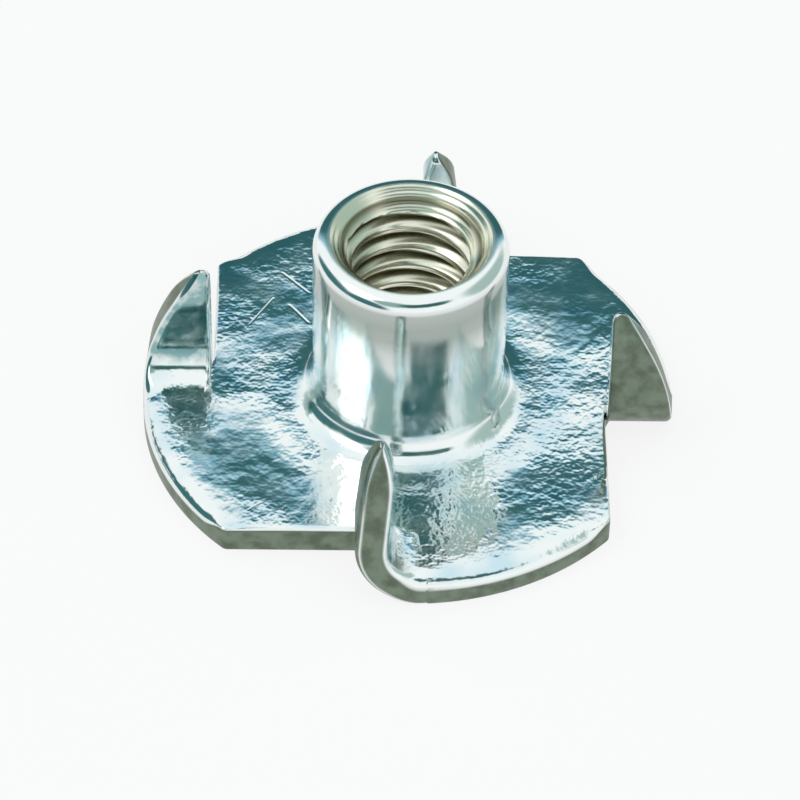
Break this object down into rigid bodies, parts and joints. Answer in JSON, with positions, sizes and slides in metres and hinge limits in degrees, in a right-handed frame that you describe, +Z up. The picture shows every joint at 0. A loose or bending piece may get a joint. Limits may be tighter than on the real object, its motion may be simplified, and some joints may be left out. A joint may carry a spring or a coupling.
{
  "type": "tee nut",
  "caption": "Pressed steel tee nut: round flange with lanced, folded prongs and a drawn, tapped barrel that anchors a screw in timber.",
  "frame": {"origin": "on the barrel's axis at the flange's underside", "axes": "+Z up the barrel towards its open end, +X out through one prong's fold"},
  "size_m": [0.015, 0.015, 0.0066],
  "materials": {
    "zinc_plate": "bright zinc plating with a pale blue passivate"
  },
  "bodies": {
    "root": {"tee_nut": "zinc_plate"}
  },
  "joints": []
}
